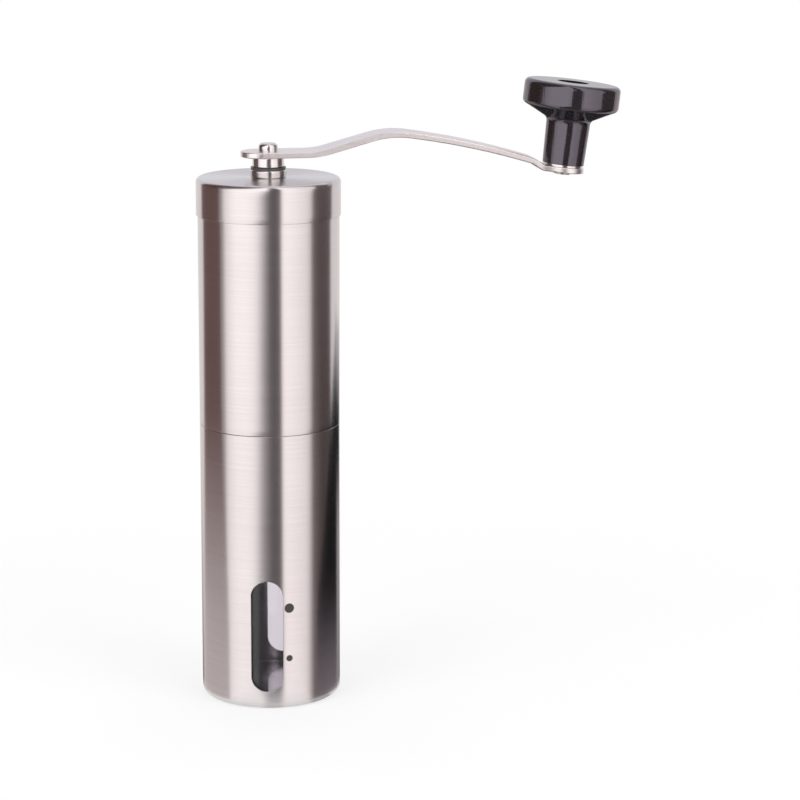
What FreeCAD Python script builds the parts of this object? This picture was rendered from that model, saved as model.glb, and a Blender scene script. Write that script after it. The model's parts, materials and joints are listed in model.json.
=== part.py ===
import FreeCAD, Part
import math
import os
import re
import Sketcher
from FreeCAD import Placement, Rotation, Vector

# Hand crank coffee grinder: a steel tube for the beans over a steel cup for the grounds,
# with a ceramic conical burr between them, driven by a crank on a hexagonal shaft.
# The frame has its origin in the middle of the base, +Z up along the shaft, and the
# crank arm along +X at rest. Sizes are in millimetres and degrees.

SIZES = {
    # Tube, cup and the two windows in the cup, by their direction round the axis
    "tube_outer_d": 49.0,
    "tube_wall": 0.6,
    "tube_length": 84.3,
    "cup_height": 98.0,
    "cup_wall": 0.6,
    "cup_base": 1.0,
    "cup_corner": 2.5,
    "seam_gap": 0.1,
    "window_w": 11.1,
    "window_low": 6.4,
    "window_length": 40.0,
    "front_window_angle": 258.9,
    "rear_window_angle": 72.0,
    # Clear liner that stands in the cup
    "liner_wall": 1.2,
    "liner_floor": 2.0,
    "liner_fit": 0.15,
    "liner_headroom": 1.0,
    "liner_corner": 2.6,
    "liner_lip": 0.5,
    # Burr carrier: skirt inside the cup, funnel inside the tube, three-armed spider
    "carrier_fit": 0.1,
    "skirt_depth": 12.0,
    "skirt_wall": 1.6,
    "carrier_rise": 20.0,
    "funnel_lip": 0.8,
    "funnel_wall": 1.8,
    "throat_d": 31.2,
    "throat_depth": 2.0,
    "pocket_wall": 1.5,
    "pocket_lift": 1.0,
    "hub_d": 13.0,
    "hub_height": 5.5,
    "hub_lift": 9.0,
    "spider_arms": 3,
    "spider_arm_w": 4.0,
    "spider_arm_height": 4.5,
    "bush_wall": 1.4,
    "bush_fit": 0.05,
    "bush_flange_d": 12.4,
    "bush_flange": 1.0,
    # Outer burr ring
    "ring_d": 38.0,
    "ring_height": 13.0,
    "ring_inset": 0.5,
    "ring_fit": 0.05,
    "ring_mouth_d": 31.0,
    "ring_waist_d": 24.4,
    "ring_foot_d": 27.8,
    "fine_height": 6.0,
    # Inner burr cone, its teeth and flutes
    "grind_gap": 0.35,
    "cone_foot": 0.6,
    "cone_top_d": 12.4,
    "cone_rise": 0.5,
    "tooth_count": 32,
    "tooth_depth": 0.9,
    "tooth_lean": 24.0,
    "flute_count": 6,
    "flute_lean": 26.0,
    "ring_flute_depth": 2.0,
    "ring_flute_w": 4.6,
    "cone_flute_depth": 2.3,
    "cone_flute_w": 5.4,
    # Shaft, its hexagon and flats
    "shaft_d": 6.0,
    "shaft_fit": 0.05,
    "shaft_tail": 4.0,
    "flats_count": 2,
    "flats_across": 4.6,
    "flats_rise": 2.5,
    "hex_sides": 6,
    "hex_across": 5.1,
    "hex_lead": 0.5,
    "hex_length": 7.7,
    "groove_d": 4.7,
    "clip_d": 10.0,
    "clip_thickness": 0.7,
    "clip_mouth": 4.2,
    "thrust_washer_d": 11.2,
    "thrust_washer_thickness": 0.6,
    # Spring over the burr
    "spring_wire": 0.9,
    "spring_mean_d": 8.6,
    "spring_turns": 5,
    "spring_seat_d": 11.6,
    "spring_seat_thickness": 0.6,
    # Drive key and grind adjuster under the burr
    "key_d": 16.0,
    "key_across": 12.0,
    "key_thickness": 1.5,
    "key_fit": 0.1,
    "notch_count": 12,
    "notch_d": 1.2,
    "notch_depth": 0.4,
    "dial_d": 23.0,
    "dial_height": 7.5,
    "dial_play": 0.1,
    "dial_lobes": 6,
    "scallop_d": 7.0,
    "scallop_depth": 2.0,
    "dial_edge": 0.8,
    "nut_d": 9.0,
    "nut_height": 5.5,
    # Lid: drawn cap, moulded insert, collar and bush
    "lid_fit": 0.1,
    "lid_wall": 0.4,
    "lid_skirt": 13.0,
    "lid_corner": 1.6,
    "insert_flange": 1.6,
    "insert_fit": 0.2,
    "insert_plug": 6.0,
    "insert_plug_wall": 1.5,
    "insert_hub_d": 16.0,
    "insert_hub_depth": 8.0,
    "collar_d": 12.4,
    "collar_height": 2.7,
    "collar_edge": 0.5,
    "collar_neck_d": 10.8,
    "collar_bore_d": 9.0,
    "lid_bush_flange_d": 14.0,
    "lid_bush_flange": 1.2,
    "lid_bush_length": 5.4,
    # Handle: thrust ring, drive socket, rivet and arm
    "thrust_ring": 0.8,
    "thrust_ring_d": 12.1,
    "socket_d": 10.9,
    "socket_height": 3.5,
    "socket_edge": 0.4,
    "socket_neck_d": 8.8,
    "socket_neck_depth": 6.0,
    "hex_fit": 0.1,
    "rivet_d": 4.0,
    "rivet_head_d": 6.6,
    "rivet_head": 2.7,
    "rivet_round": 1.3,
    "rivet_fit": 0.05,
    "arm_thickness": 2.0,
    "arm_overhang": 9.5,
    "arm_hub_w": 13.6,
    "arm_neck_w": 11.0,
    "arm_neck_radius": 14.0,
    "arm_edge": 0.4,
    "arm_flat": 13.0,
    "rise_radius": 28.0,
    "rise_angle": 15.6,
    "peak_start": 35.3,
    "peak_radius": 33.0,
    "peak_end": 48.8,
    "joggle_radius": 5.0,
    "joggle_angle": 35.0,
    "joggle_drop": 2.5,
    "pad_radius": 4.0,
    "pad_d": 14.6,
    "pad_flat": 6.9,
    "pad_tilt": 6.45,
    "crank_reach": 104.2,
    "pad_drop": 7.2,
    # Knob and the axle that it turns on
    "axle_d": 5.0,
    "axle_fit": 0.05,
    "axle_tail_d": 6.4,
    "axle_tail": 0.9,
    "axle_tail_round": 0.5,
    "axle_washer_d": 14.0,
    "axle_washer_thickness": 0.7,
    "knob_play": 0.1,
    "knob_height": 28.6,
    "knob_d": 33.7,
    "knob_rim": 8.4,
    "knob_rim_edge": 1.8,
    "knob_under": 4.6,
    "knob_stem_top_d": 15.5,
    "knob_stem_d": 14.6,
    "knob_stem_blend": 2.0,
    "knob_recess_d": 11.0,
    "knob_recess": 3.8,
    "screw_head_d": 8.4,
    "screw_head": 2.2,
    "screw_round": 1.3,
    "screw_d": 3.0,
    "screw_length": 8.0,
    # How far a cutter runs past the face that it leaves by, and past the blank of the arm
    "cut_over": 1.0,
    "blank_margin": 30.0,
}

# Levels along the axis, worked out from the sizes above
SKIRT_FOOT = "(cup_height - skirt_depth)"
RING_FOOT = "(cup_height - skirt_depth + ring_inset)"
RING_TOP = "(cup_height - skirt_depth + ring_inset + ring_height)"
CARRIER_TOP = "(cup_height + carrier_rise)"
HUB_FOOT = "(cup_height - skirt_depth + ring_inset + ring_height + hub_lift)"
BUSH_TOP = f"({HUB_FOOT} + hub_height + bush_flange)"
CLIP_FOOT = f"({BUSH_TOP} + thrust_washer_thickness)"
CONE_FOOT = f"({RING_FOOT} - cone_foot)"
CONE_TOP = f"({RING_TOP} + cone_rise)"
KEY_FOOT = CONE_FOOT
DIAL_TOP = f"({KEY_FOOT} - dial_play)"
DIAL_FOOT = f"({DIAL_TOP} - dial_height)"
TUBE_FOOT = "(cup_height + seam_gap)"
TUBE_TOP = "(cup_height + seam_gap + tube_length)"
LID_UNDER = f"({TUBE_TOP} + insert_flange)"
LID_TOP = f"({LID_UNDER} + lid_wall)"
COLLAR_TOP = f"({LID_TOP} + collar_height)"
SOCKET_FOOT = f"({COLLAR_TOP} + thrust_ring)"
NECK_FOOT = f"({SOCKET_FOOT} - socket_neck_depth)"
ARM_UNDER = f"({SOCKET_FOOT} + socket_height)"
ARM_TOP = f"({ARM_UNDER} + arm_thickness)"
HUB_FLOOR = f"({TUBE_TOP} - insert_hub_depth)"
HEX_FOOT = f"({NECK_FOOT} - hex_lead)"
HEX_TOP = f"({HEX_FOOT} + hex_length)"

# Radii shared by mating pieces
TUBE_BORE = "(tube_outer_d / 2 - tube_wall)"
CUP_BORE = "(tube_outer_d / 2 - cup_wall)"
SHAFT_BORE = "(shaft_d / 2 + shaft_fit)"
BUSH_OUTER = "(shaft_d / 2 + shaft_fit + bush_wall)"

doc = FreeCAD.newDocument("coffee_grinder")
sheet = doc.addObject("Spreadsheet::Sheet", "dims")
for row, (alias, number) in enumerate(SIZES.items(), start=1):
    sheet.set(f"A{row}", alias)
    sheet.set(f"B{row}", str(number))
    sheet.setAlias(f"B{row}", alias)
doc.recompute()

sub_parts = []


def bound(expression):
    """The expression with each size name pointed at the sheet."""
    def pointed(word):
        return f"dims.{word[0]}" if word[0] in SIZES else word[0]

    return re.sub(r"[a-z]\w*", pointed, expression)


def value(expression):
    """The number that an expression has now."""
    number = sheet.evalExpression(bound(expression))
    return float(getattr(number, "Value", number))


def new_body(label):
    body = doc.addObject("PartDesign::Body", label)
    body.Label = label
    sub_parts.append(body)
    return body


def origin_feature(body, role):
    return next(feature for feature in body.Origin.OriginFeatures if feature.Role == role)


def new_sketch(body, name, plane="XZ_Plane", lift=None, turn=None):
    """A sketch on one of the body's own planes, lifted along its normal or turned about its upright."""
    sketch = body.newObject("Sketcher::SketchObject", name)
    sketch.AttachmentSupport = [(origin_feature(body, plane), "")]
    sketch.MapMode = "FlatFace"
    if lift:
        sketch.AttachmentOffset = Placement(Vector(0, 0, value(lift)), Rotation())
        sketch.setExpression("AttachmentOffset.Base.z", bound(lift))
    if turn:
        sketch.AttachmentOffset = Placement(Vector(), Rotation(Vector(0, 1, 0), value(turn)))
        sketch.setExpression("AttachmentOffset.Rotation.Angle", bound(turn))
    return sketch


def hold(sketch, kind, items, expression):
    """A driving dimension that follows the sheet."""
    index = sketch.addConstraint(Sketcher.Constraint(kind, *items, value(expression)))
    sketch.setExpression(f"Constraints[{index}]", bound(expression))


def place_point(sketch, item, end, across, up):
    """Dimension one point of a sketch from the origin, to either side of it."""
    for kind, expression, axis in (("DistanceX", across, -2), ("DistanceY", up, -1)):
        number = value(expression)
        if abs(number) < 1e-9:
            sketch.addConstraint(Sketcher.Constraint("PointOnObject", item, end, axis))
        elif number > 0:
            hold(sketch, kind, (-1, 1, item, end), expression)
        else:
            hold(sketch, kind, (item, end, -1, 1), f"-({expression})")


def straight(sketch, start, end):
    return sketch.addGeometry(Part.LineSegment(start, end), False)


def closed_outline(sketch, corners):
    """Straight runs through corners given as expressions."""
    points = [Vector(value(across), value(up), 0) for across, up in corners]
    lines = []
    for index, point in enumerate(points):
        lines.append(straight(sketch, point, points[(index + 1) % len(points)]))
    join(sketch, "Coincident", lines)
    for line, (across, up) in zip(lines, corners):
        place_point(sketch, line, 1, across, up)


def circle(sketch, radius, across="0", up="0"):
    centre = Vector(value(across), value(up), 0)
    ring = sketch.addGeometry(Part.Circle(centre, Vector(0, 0, 1), value(radius)), False)
    hold(sketch, "Radius", (ring,), radius)
    place_point(sketch, ring, 3, across, up)


def arc(sketch, centre, radius, start, end):
    """An arc that runs counter-clockwise between two angles in radians."""
    whole = Part.Circle(centre, Vector(0, 0, 1), radius)
    return sketch.addGeometry(Part.ArcOfCircle(whole, start, end), False)


def join(sketch, kind, curves):
    """Each curve's second end held to the first end of the next, round a closed loop."""
    for index, curve in enumerate(curves):
        following = curves[(index + 1) % len(curves)]
        sketch.addConstraint(Sketcher.Constraint(kind, curve, 2, following, 1))


def two_flats(sketch, radius, half_across):
    """A circle with two flats, above and below its centre."""
    reach = value(radius)
    flat = value(half_across)
    side = math.asin(flat / reach)
    right = arc(sketch, Vector(), reach, -side, side)
    left = arc(sketch, Vector(), reach, math.pi - side, math.pi + side)
    edge = reach * math.cos(side)
    top = straight(sketch, Vector(edge, flat, 0), Vector(-edge, flat, 0))
    under = straight(sketch, Vector(-edge, -flat, 0), Vector(edge, -flat, 0))
    join(sketch, "Coincident", [right, top, left, under])
    for curve in (right, left):
        sketch.addConstraint(Sketcher.Constraint("Coincident", curve, 3, -1, 1))
    for line in (top, under):
        sketch.addConstraint(Sketcher.Constraint("Horizontal", line))
    sketch.addConstraint(Sketcher.Constraint("Equal", right, left))
    hold(sketch, "Radius", (right,), radius)
    hold(sketch, "DistanceY", (-1, 1, top, 1), half_across)
    hold(sketch, "DistanceY", (under, 1, -1, 1), half_across)


def revolve(body, corners):
    """A turned piece: corners of half its section, as radius and height, swept about the axis."""
    sketch = new_sketch(body, f"{body.Name}_section")
    closed_outline(sketch, corners)
    feature = body.newObject("PartDesign::Revolution", f"{body.Name}_turned")
    feature.Profile = sketch
    feature.ReferenceAxis = (sketch, ["V_Axis"])
    feature.Angle = 360
    doc.recompute()
    return feature


def pad(body, sketch, length):
    feature = body.newObject("PartDesign::Pad", f"{sketch.Name}_pad")
    feature.Profile = sketch
    feature.Length = value(length)
    feature.setExpression("Length", bound(length))
    doc.recompute()
    return feature


def pocket(body, sketch, length, upward=True):
    """A cut from the sketch plane along its normal, or against it, that must take material away."""
    before = body.Shape.Volume
    feature = body.newObject("PartDesign::Pocket", f"{sketch.Name}_cut")
    feature.Profile = sketch
    feature.Length = value(length)
    feature.setExpression("Length", bound(length))
    feature.Reversed = upward
    doc.recompute()
    if body.Shape.Volume > before - 1e-6:
        raise RuntimeError(f"{sketch.Name} cuts nothing")
    return feature


def slanted_cut(body, sketch, length, direction):
    """A cut that runs from the sketch plane along a slanted direction."""
    before = body.Shape.Volume
    feature = body.newObject("PartDesign::Pocket", f"{sketch.Name}_cut")
    feature.Profile = sketch
    feature.UseCustomVector = True
    feature.Direction = direction
    feature.AlongSketchNormal = True
    feature.Length = value(length)
    feature.setExpression("Length", bound(length))
    doc.recompute()
    if body.Shape.Volume > before - 1e-6:
        raise RuntimeError(f"{sketch.Name} cuts nothing")
    return feature


def polar(body, feature, count):
    """Copies of a feature spaced evenly round the axis."""
    pattern = body.newObject("PartDesign::PolarPattern", f"{feature.Name}_round")
    pattern.Originals = [feature]
    pattern.Axis = (origin_feature(body, "Z_Axis"), [""])
    pattern.Angle = 360
    pattern.Occurrences = int(value(count))
    pattern.setExpression("Occurrences", bound(count))
    body.Tip = pattern
    doc.recompute()
    return pattern


def rings(feature, radius, height):
    """Names of the round edges about the axis with this radius at this height."""
    names = []
    for index, edge in enumerate(feature.Shape.Edges, start=1):
        curve = edge.Curve
        if not isinstance(curve, Part.Circle):
            continue
        wanted = Vector(0, 0, value(height))
        if (curve.Center - wanted).Length < 1e-4 and abs(curve.Radius - value(radius)) < 1e-4:
            names.append(f"Edge{index}")
    if not names:
        raise RuntimeError(f"{feature.Name} has no edge at {radius}, {height}")
    return names


def round_over(body, feature, edges, radius):
    fillet = body.newObject("PartDesign::Fillet", f"{feature.Name}_edge")
    fillet.Base = (feature, edges)
    fillet.Radius = value(radius)
    fillet.setExpression("Radius", bound(radius))
    doc.recompute()
    return fillet


def washer(label, outer_d, bore, foot, thickness):
    """A flat ring."""
    body = new_body(label)
    rim = f"{outer_d} / 2"
    top = f"{foot} + {thickness}"
    revolve(body, [(bore, foot), (rim, foot), (rim, top), (bore, top)])
    return body


def body_tube():
    body = new_body("body_tube")
    outer = "tube_outer_d / 2"
    revolve(body, [
        (TUBE_BORE, TUBE_FOOT),
        (outer, TUBE_FOOT),
        (outer, TUBE_TOP),
        (TUBE_BORE, TUBE_TOP),
    ])


def window(body, name, angle):
    """An upright slot with round ends through the wall on one side, seen from outside."""
    sketch = new_sketch(body, name, "XZ_Plane", turn=f"{angle} - 270")
    half = value("window_w / 2")
    low = value("window_low + window_w / 2")
    high = value("window_low + window_length - window_w / 2")
    top = arc(sketch, Vector(0, high, 0), half, 0, math.pi)
    foot = arc(sketch, Vector(0, low, 0), half, math.pi, 2 * math.pi)
    left = straight(sketch, Vector(-half, high, 0), Vector(-half, low, 0))
    right = straight(sketch, Vector(half, low, 0), Vector(half, high, 0))
    join(sketch, "Tangent", [top, left, foot, right])
    sketch.addConstraint(Sketcher.Constraint("Equal", top, foot))
    hold(sketch, "Radius", (top,), "window_w / 2")
    place_point(sketch, foot, 3, "0", "window_low + window_w / 2")
    place_point(sketch, top, 3, "0", "window_low + window_length - window_w / 2")
    pocket(body, sketch, "tube_outer_d")


def grounds_cup():
    body = new_body("grounds_cup")
    outer = "tube_outer_d / 2"
    shell = revolve(body, [
        ("0", "0"),
        (outer, "0"),
        (outer, "cup_height"),
        (CUP_BORE, "cup_height"),
        (CUP_BORE, "cup_base"),
        ("0", "cup_base"),
    ])
    outside = round_over(body, shell, rings(shell, outer, "0"), "cup_corner")
    round_over(body, outside, rings(outside, CUP_BORE, "cup_base"), "cup_corner - cup_wall")
    window(body, "front_window", "front_window_angle")
    window(body, "rear_window", "rear_window_angle")


def cup_liner():
    body = new_body("cup_liner")
    outer = f"({CUP_BORE} - liner_fit)"
    inner = f"({CUP_BORE} - liner_fit - liner_wall)"
    top = f"({SKIRT_FOOT} - liner_headroom)"
    shell = revolve(body, [
        ("0", "cup_base"),
        (outer, "cup_base"),
        (outer, top),
        (inner, top),
        (inner, "cup_base + liner_floor"),
        ("0", "cup_base + liner_floor"),
    ])
    outside = round_over(body, shell, rings(shell, outer, "cup_base"), "liner_corner")
    floor_edge = rings(outside, inner, "cup_base + liner_floor")
    inside = round_over(body, outside, floor_edge, "liner_corner - liner_wall")
    round_over(body, inside, rings(inside, inner, top), "liner_lip")


def burr_carrier():
    body = new_body("burr_carrier")
    outer = f"({CUP_BORE} - carrier_fit)"
    skirt = f"({outer} - skirt_wall)"
    pocket_bore = "(ring_d / 2 + ring_fit)"
    pocket_outer = f"({pocket_bore} + pocket_wall)"
    throat_top = f"({RING_TOP} + throat_depth)"
    slope = f"(({CARRIER_TOP} - {throat_top}) / ({outer} - funnel_lip - throat_d / 2))"

    def under_funnel(radius):
        """Height of the underside of the funnel at a radius."""
        return f"{throat_top} + {slope} * ({radius} - throat_d / 2 - funnel_wall)"

    revolve(body, [
        (outer, SKIRT_FOOT),
        (outer, CARRIER_TOP),
        (f"{outer} - funnel_lip", CARRIER_TOP),
        ("throat_d / 2", throat_top),
        ("throat_d / 2", RING_TOP),
        (pocket_bore, RING_TOP),
        (pocket_bore, f"{SKIRT_FOOT} + pocket_lift"),
        (pocket_outer, f"{SKIRT_FOOT} + pocket_lift"),
        (pocket_outer, under_funnel(pocket_outer)),
        (skirt, under_funnel(skirt)),
        (skirt, SKIRT_FOOT),
    ])
    hub = new_sketch(body, "carrier_hub", "XY_Plane", lift=HUB_FOOT)
    circle(hub, "hub_d / 2")
    pad(body, hub, "hub_height")
    arm = new_sketch(body, "spider_arm", "XY_Plane", lift=HUB_FOOT)
    tip = f"({outer} - funnel_lip)"
    closed_outline(arm, [
        ("0", "-spider_arm_w / 2"),
        (tip, "-spider_arm_w / 2"),
        (tip, "spider_arm_w / 2"),
        ("0", "spider_arm_w / 2"),
    ])
    polar(body, pad(body, arm, "spider_arm_height"), "spider_arms")
    bore = new_sketch(body, "hub_bore", "XY_Plane", lift=f"{HUB_FOOT} - cut_over")
    circle(bore, f"{BUSH_OUTER} + bush_fit")
    pocket(body, bore, "hub_height + 2 * cut_over")


def shaft_bush():
    body = new_body("shaft_bush")
    revolve(body, [
        (SHAFT_BORE, HUB_FOOT),
        (BUSH_OUTER, HUB_FOOT),
        (BUSH_OUTER, f"{HUB_FOOT} + hub_height"),
        ("bush_flange_d / 2", f"{HUB_FOOT} + hub_height"),
        ("bush_flange_d / 2", BUSH_TOP),
        (SHAFT_BORE, BUSH_TOP),
    ])


def groove_round(body, name, height, radius, depth, half_w, lean, rise, run, count):
    """Slanted V grooves spaced round a conical face. The first starts at a height and radius, is
    cut to a depth, towards the axis if that is negative, and follows the face by its run for its
    rise."""
    sketch = new_sketch(body, name, "XY_Plane", lift=height)
    back = f"({radius} - ({depth}))"
    closed_outline(sketch, [
        (f"{radius} + ({depth})", "0"),
        (back, f"2 * {half_w}"),
        (back, f"-2 * {half_w}"),
    ])
    sideways = value(f"({rise}) * tan({lean})")
    cut = slanted_cut(body, sketch, f"abs({rise})", Vector(value(run), sideways, value(rise)))
    return polar(body, cut, count)


def outer_burr():
    body = new_body("outer_burr")
    waist = f"({RING_FOOT} + fine_height)"
    revolve(body, [
        ("ring_foot_d / 2", RING_FOOT),
        ("ring_d / 2", RING_FOOT),
        ("ring_d / 2", RING_TOP),
        ("ring_mouth_d / 2", RING_TOP),
        ("ring_waist_d / 2", waist),
    ])
    tooth_half = "(pi * ring_foot_d / tooth_count / 4)"
    groove_round(body, "ring_tooth", RING_FOOT, "ring_foot_d / 2", "tooth_depth", tooth_half,
                 "-tooth_lean", "fine_height", "(ring_waist_d - ring_foot_d) / 2", "tooth_count")
    groove_round(body, "ring_flute", RING_TOP, "ring_mouth_d / 2", "ring_flute_depth",
                 "ring_flute_w / 2", "-flute_lean", "fine_height - ring_height",
                 "(ring_waist_d - ring_mouth_d) / 2", "flute_count")


def inner_burr():
    body = new_body("inner_burr")
    waist = f"({RING_FOOT} + fine_height)"
    foot_r = "(ring_foot_d / 2 - grind_gap)"
    waist_r = "(ring_waist_d / 2 - grind_gap)"
    revolve(body, [
        (SHAFT_BORE, CONE_FOOT),
        (foot_r, CONE_FOOT),
        (foot_r, RING_FOOT),
        (waist_r, waist),
        ("cone_top_d / 2", CONE_TOP),
        (SHAFT_BORE, CONE_TOP),
    ])
    seat = new_sketch(body, "key_recess", "XY_Plane", lift=CONE_FOOT)
    two_flats(seat, "key_d / 2 + key_fit", "key_across / 2 + key_fit")
    pocket(body, seat, "key_thickness")
    tooth_half = "(pi * ring_foot_d / tooth_count / 4)"
    groove_round(body, "cone_tooth", CONE_FOOT, foot_r, "-tooth_depth", tooth_half,
                 "tooth_lean", f"{waist} - {CONE_FOOT}", f"{waist_r} - {foot_r}", "tooth_count")
    groove_round(body, "cone_flute", CONE_TOP, "cone_top_d / 2", "-cone_flute_depth",
                 "cone_flute_w / 2", "flute_lean", f"{waist} - {CONE_TOP}",
                 f"{waist_r} - cone_top_d / 2", "flute_count")


def drive_shaft():
    body = new_body("drive_shaft")
    radius = "shaft_d / 2"
    tail = f"({DIAL_FOOT} - shaft_tail)"
    clip_top = f"({CLIP_FOOT} + clip_thickness)"
    revolve(body, [
        ("0", tail),
        (radius, tail),
        (radius, CLIP_FOOT),
        ("groove_d / 2", CLIP_FOOT),
        ("groove_d / 2", clip_top),
        (radius, clip_top),
        (radius, HEX_TOP),
        ("0", HEX_TOP),
    ])
    flat = new_sketch(body, "shaft_flat", "XY_Plane", lift=tail)
    closed_outline(flat, [
        ("-shaft_d", "flats_across / 2"),
        ("shaft_d", "flats_across / 2"),
        ("shaft_d", "shaft_d"),
        ("-shaft_d", "shaft_d"),
    ])
    polar(body, pocket(body, flat, f"{CONE_FOOT} + flats_rise - {tail}"), "flats_count")
    facet = new_sketch(body, "shaft_facet", "XY_Plane", lift=HEX_FOOT)
    closed_outline(facet, [
        ("-shaft_d", "hex_across / 2"),
        ("shaft_d", "hex_across / 2"),
        ("shaft_d", "shaft_d"),
        ("-shaft_d", "shaft_d"),
    ])
    polar(body, pocket(body, facet, "hex_length + cut_over"), "hex_sides")


def shaft_clip():
    """Open spring clip in the groove of the shaft."""
    body = washer("shaft_clip", "clip_d", "groove_d / 2 + shaft_fit", CLIP_FOOT, "clip_thickness")
    mouth = new_sketch(body, "clip_mouth_gap", "XY_Plane", lift=CLIP_FOOT)
    closed_outline(mouth, [
        ("0", "-clip_mouth / 2"),
        ("clip_d", "-clip_mouth / 2"),
        ("clip_d", "clip_mouth / 2"),
        ("0", "clip_mouth / 2"),
    ])
    pocket(body, mouth, "clip_thickness")


def biarc(start, start_way, end, end_way):
    """Two arcs that leave one point along one direction and reach another along its own."""
    chord = end - start
    ways = start_way + end_way
    spread = 2 * (1 - start_way.dot(end_way))
    reach = (math.sqrt(chord.dot(ways) ** 2 + spread * chord.dot(chord)) - chord.dot(ways)) / spread
    first = start + start_way * reach
    second = end - end_way * reach
    joint = (first + second) / 2
    edges = []
    for head, corner, tail in ((start, first, joint), (joint, second, end)):
        inward = ((head + tail) / 2 - corner).normalize()
        half = (tail - head).Length / 2
        rise = (corner - (head + tail) / 2).Length
        sag = half * math.tan(math.atan2(rise, half) / 2)
        edges.append(Part.Arc(head, (head + tail) / 2 - inward * sag, tail).toShape())
    return edges


def burr_spring():
    """Open coil round the shaft, from the spring seat up to the bush."""
    wire_r = value("spring_wire / 2")
    radius = value("spring_mean_d / 2")
    foot = value(f"{CONE_TOP} + spring_seat_thickness") + wire_r
    top = value(HUB_FOOT) - wire_r
    turns = int(value("spring_turns"))
    pitch = (top - foot) / turns
    points = []
    ways = []
    for step in range(4 * turns + 1):
        angle = step * math.pi / 2
        across = radius * math.cos(angle)
        along = radius * math.sin(angle)
        points.append(Vector(across, along, foot + pitch * step / 4))
        ways.append(Vector(-along, across, pitch / (2 * math.pi)).normalize())
    edges = []
    for step in range(4 * turns):
        edges += biarc(points[step], ways[step], points[step + 1], ways[step + 1])
    section = Part.Wire(Part.makeCircle(wire_r, points[0], ways[0]))
    tube = Part.Wire(edges).makePipeShell([section], True, False)
    lead = math.atan2(pitch, 2 * math.pi * radius)
    print(f"spring least gap between turns {pitch * math.cos(lead) - 2 * wire_r:.2f} mm")
    spring = doc.addObject("Part::Feature", "burr_spring")
    spring.Label = "burr_spring"
    spring.Shape = tube
    spring.Placement = Placement()
    sub_parts.append(spring)


def burr_key():
    body = new_body("burr_key")
    plate = new_sketch(body, "key_plate", "XY_Plane", lift=KEY_FOOT)
    two_flats(plate, "key_d / 2", "key_across / 2")
    two_flats(plate, SHAFT_BORE, "flats_across / 2 + shaft_fit")
    pad(body, plate, "key_thickness")
    notch = new_sketch(body, "key_notch", "XY_Plane", lift=KEY_FOOT)
    circle(notch, "notch_d / 2", "(key_across / 2 + shaft_d / 2) / 2", "0")
    polar(body, pocket(body, notch, "notch_depth"), "notch_count")


def adjuster_dial():
    body = new_body("adjuster_dial")
    rim = "dial_d / 2"
    bore = "(nut_d / 2 + ring_fit)"
    ledge = f"({DIAL_FOOT} + nut_height)"
    turned = revolve(body, [
        (bore, DIAL_FOOT),
        (rim, DIAL_FOOT),
        (rim, DIAL_TOP),
        (SHAFT_BORE, DIAL_TOP),
        (SHAFT_BORE, ledge),
        (bore, ledge),
    ])
    edges = rings(turned, rim, DIAL_FOOT) + rings(turned, rim, DIAL_TOP)
    round_over(body, turned, edges, "dial_edge")
    scallop = new_sketch(body, "dial_scallop", "XY_Plane", lift=DIAL_FOOT)
    circle(scallop, "scallop_d / 2", f"{rim} + scallop_d / 2 - scallop_depth", "0")
    polar(body, pocket(body, scallop, "dial_height"), "dial_lobes")


def adjuster_nut():
    washer("adjuster_nut", "nut_d", SHAFT_BORE, DIAL_FOOT, "nut_height")


def lid_cap():
    body = new_body("lid_cap")
    inner = "(tube_outer_d / 2 + lid_fit)"
    outer = "(tube_outer_d / 2 + lid_fit + lid_wall)"
    foot = f"({LID_TOP} - lid_skirt)"
    hole = "(collar_neck_d / 2 + bush_fit)"
    shell = revolve(body, [
        (outer, foot),
        (outer, LID_TOP),
        (hole, LID_TOP),
        (hole, LID_UNDER),
        (inner, LID_UNDER),
        (inner, foot),
    ])
    outside = round_over(body, shell, rings(shell, outer, LID_TOP), "lid_corner")
    round_over(body, outside, rings(outside, inner, LID_UNDER), "lid_corner - lid_wall")


def lid_insert():
    body = new_body("lid_insert")
    flange = "(tube_outer_d / 2)"
    plug = f"({TUBE_BORE} - insert_fit)"
    plug_bore = f"({plug} - insert_plug_wall)"
    hub = "(insert_hub_d / 2)"
    bore = "(collar_neck_d / 2 + bush_fit)"
    plug_foot = f"({TUBE_TOP} - insert_plug)"
    revolve(body, [
        (bore, HUB_FLOOR),
        (hub, HUB_FLOOR),
        (hub, TUBE_TOP),
        (plug_bore, TUBE_TOP),
        (plug_bore, plug_foot),
        (plug, plug_foot),
        (plug, TUBE_TOP),
        (flange, TUBE_TOP),
        (flange, f"{LID_UNDER} - lid_corner + lid_wall"),
        (f"{flange} - lid_corner + lid_wall", LID_UNDER),
        (bore, LID_UNDER),
    ])


def lid_collar():
    body = new_body("lid_collar")
    rim = "collar_d / 2"
    turned = revolve(body, [
        ("collar_bore_d / 2", HUB_FLOOR),
        ("collar_neck_d / 2", HUB_FLOOR),
        ("collar_neck_d / 2", LID_TOP),
        (rim, LID_TOP),
        (rim, COLLAR_TOP),
        ("collar_bore_d / 2", COLLAR_TOP),
    ])
    edges = rings(turned, rim, LID_TOP) + rings(turned, rim, COLLAR_TOP)
    round_over(body, turned, edges, "collar_edge")


def lid_bush():
    body = new_body("lid_bush")
    sleeve = "(collar_bore_d / 2 - bush_fit)"
    flange = "(lid_bush_flange_d / 2)"
    revolve(body, [
        (SHAFT_BORE, f"{HUB_FLOOR} - lid_bush_flange"),
        (flange, f"{HUB_FLOOR} - lid_bush_flange"),
        (flange, HUB_FLOOR),
        (sleeve, HUB_FLOOR),
        (sleeve, f"{HUB_FLOOR} + lid_bush_length"),
        (SHAFT_BORE, f"{HUB_FLOOR} + lid_bush_length"),
    ])


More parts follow.
